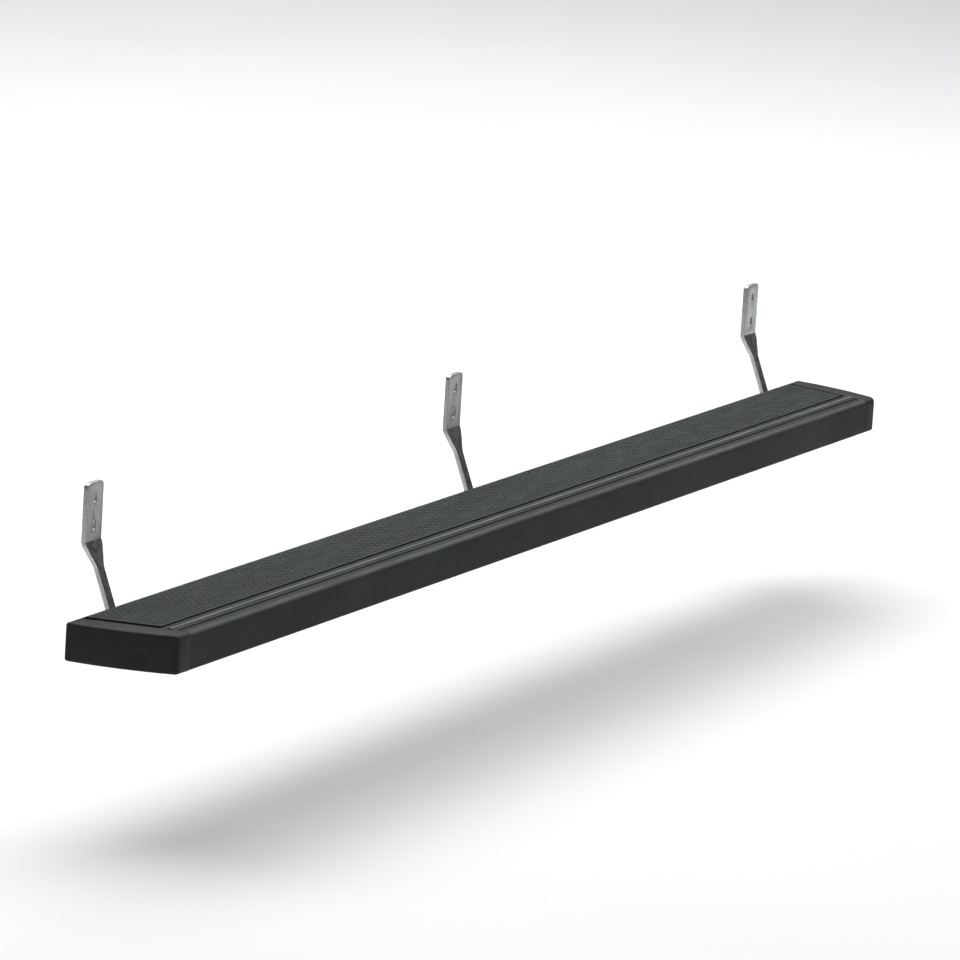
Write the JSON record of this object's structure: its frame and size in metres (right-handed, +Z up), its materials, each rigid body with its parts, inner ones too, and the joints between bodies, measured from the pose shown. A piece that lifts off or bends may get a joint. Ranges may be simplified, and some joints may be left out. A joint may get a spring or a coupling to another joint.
{
  "type": "running board",
  "caption": "Long extruded side step for a pickup truck, with a grip tread, moulded end caps and steel brackets clamped into T-slots under it.",
  "frame": {"origin": "centre of the middle bracket's bolt pattern, on the face that meets the vehicle body", "axes": "+X along the board to the rear of the vehicle, +Y inboard, +Z up"},
  "size_m": [2.5488, 0.2364, 0.2713],
  "materials": {
    "deck_coat": "textured charcoal powder coat on aluminium",
    "tread_rubber": "matt, moulded grip pattern",
    "cap_plastic": "fine grain",
    "bracket_zinc": "bright zinc plate",
    "hardware_zinc": "bright zinc plate"
  },
  "bodies": {
    "middle_bracket": {"middle_bracket": "bracket_zinc"},
    "middle_clamp": {"middle_t_bolts": "hardware_zinc", "middle_washers": "hardware_zinc", "middle_lock_washers": "hardware_zinc", "middle_nuts": "hardware_zinc"},
    "front_clamp": {"front_t_bolts": "hardware_zinc", "front_washers": "hardware_zinc", "front_lock_washers": "hardware_zinc", "front_nuts": "hardware_zinc"},
    "rear_clamp": {"rear_t_bolts": "hardware_zinc", "rear_washers": "hardware_zinc", "rear_lock_washers": "hardware_zinc", "rear_nuts": "hardware_zinc"},
    "board": {"deck": "deck_coat", "tread_mat": "tread_rubber", "front_end_cap": "cap_plastic", "rear_end_cap": "cap_plastic", "front_cap_screws": "hardware_zinc", "rear_cap_screws": "hardware_zinc"},
    "front_bracket": {"front_bracket": "bracket_zinc"},
    "rear_bracket": {"rear_bracket": "bracket_zinc"}
  },
  "joints": [
    {"name": "middle_in_out", "type": "slide", "parent": "middle_bracket", "child": "middle_clamp", "axis": [0, 1, 0], "range_m": [-0.008, 0.008]},
    {"name": "board_fore_aft", "type": "slide", "parent": "middle_clamp", "child": "board", "axis": [1, 0, 0], "range_m": [-0.3, 0.3]},
    {"name": "front_clamp_along", "type": "slide", "parent": "board", "child": "front_clamp", "axis": [1, 0, 0], "range_m": [-0.065, 0.5]},
    {"name": "front_in_out", "type": "slide", "parent": "front_clamp", "child": "front_bracket", "axis": [0, 1, 0], "range_m": [-0.008, 0.008]},
    {"name": "rear_clamp_along", "type": "slide", "parent": "board", "child": "rear_clamp", "axis": [1, 0, 0], "range_m": [-0.5, 0.02]},
    {"name": "rear_in_out", "type": "slide", "parent": "rear_clamp", "child": "rear_bracket", "axis": [0, 1, 0], "range_m": [-0.008, 0.008]}
  ]
}
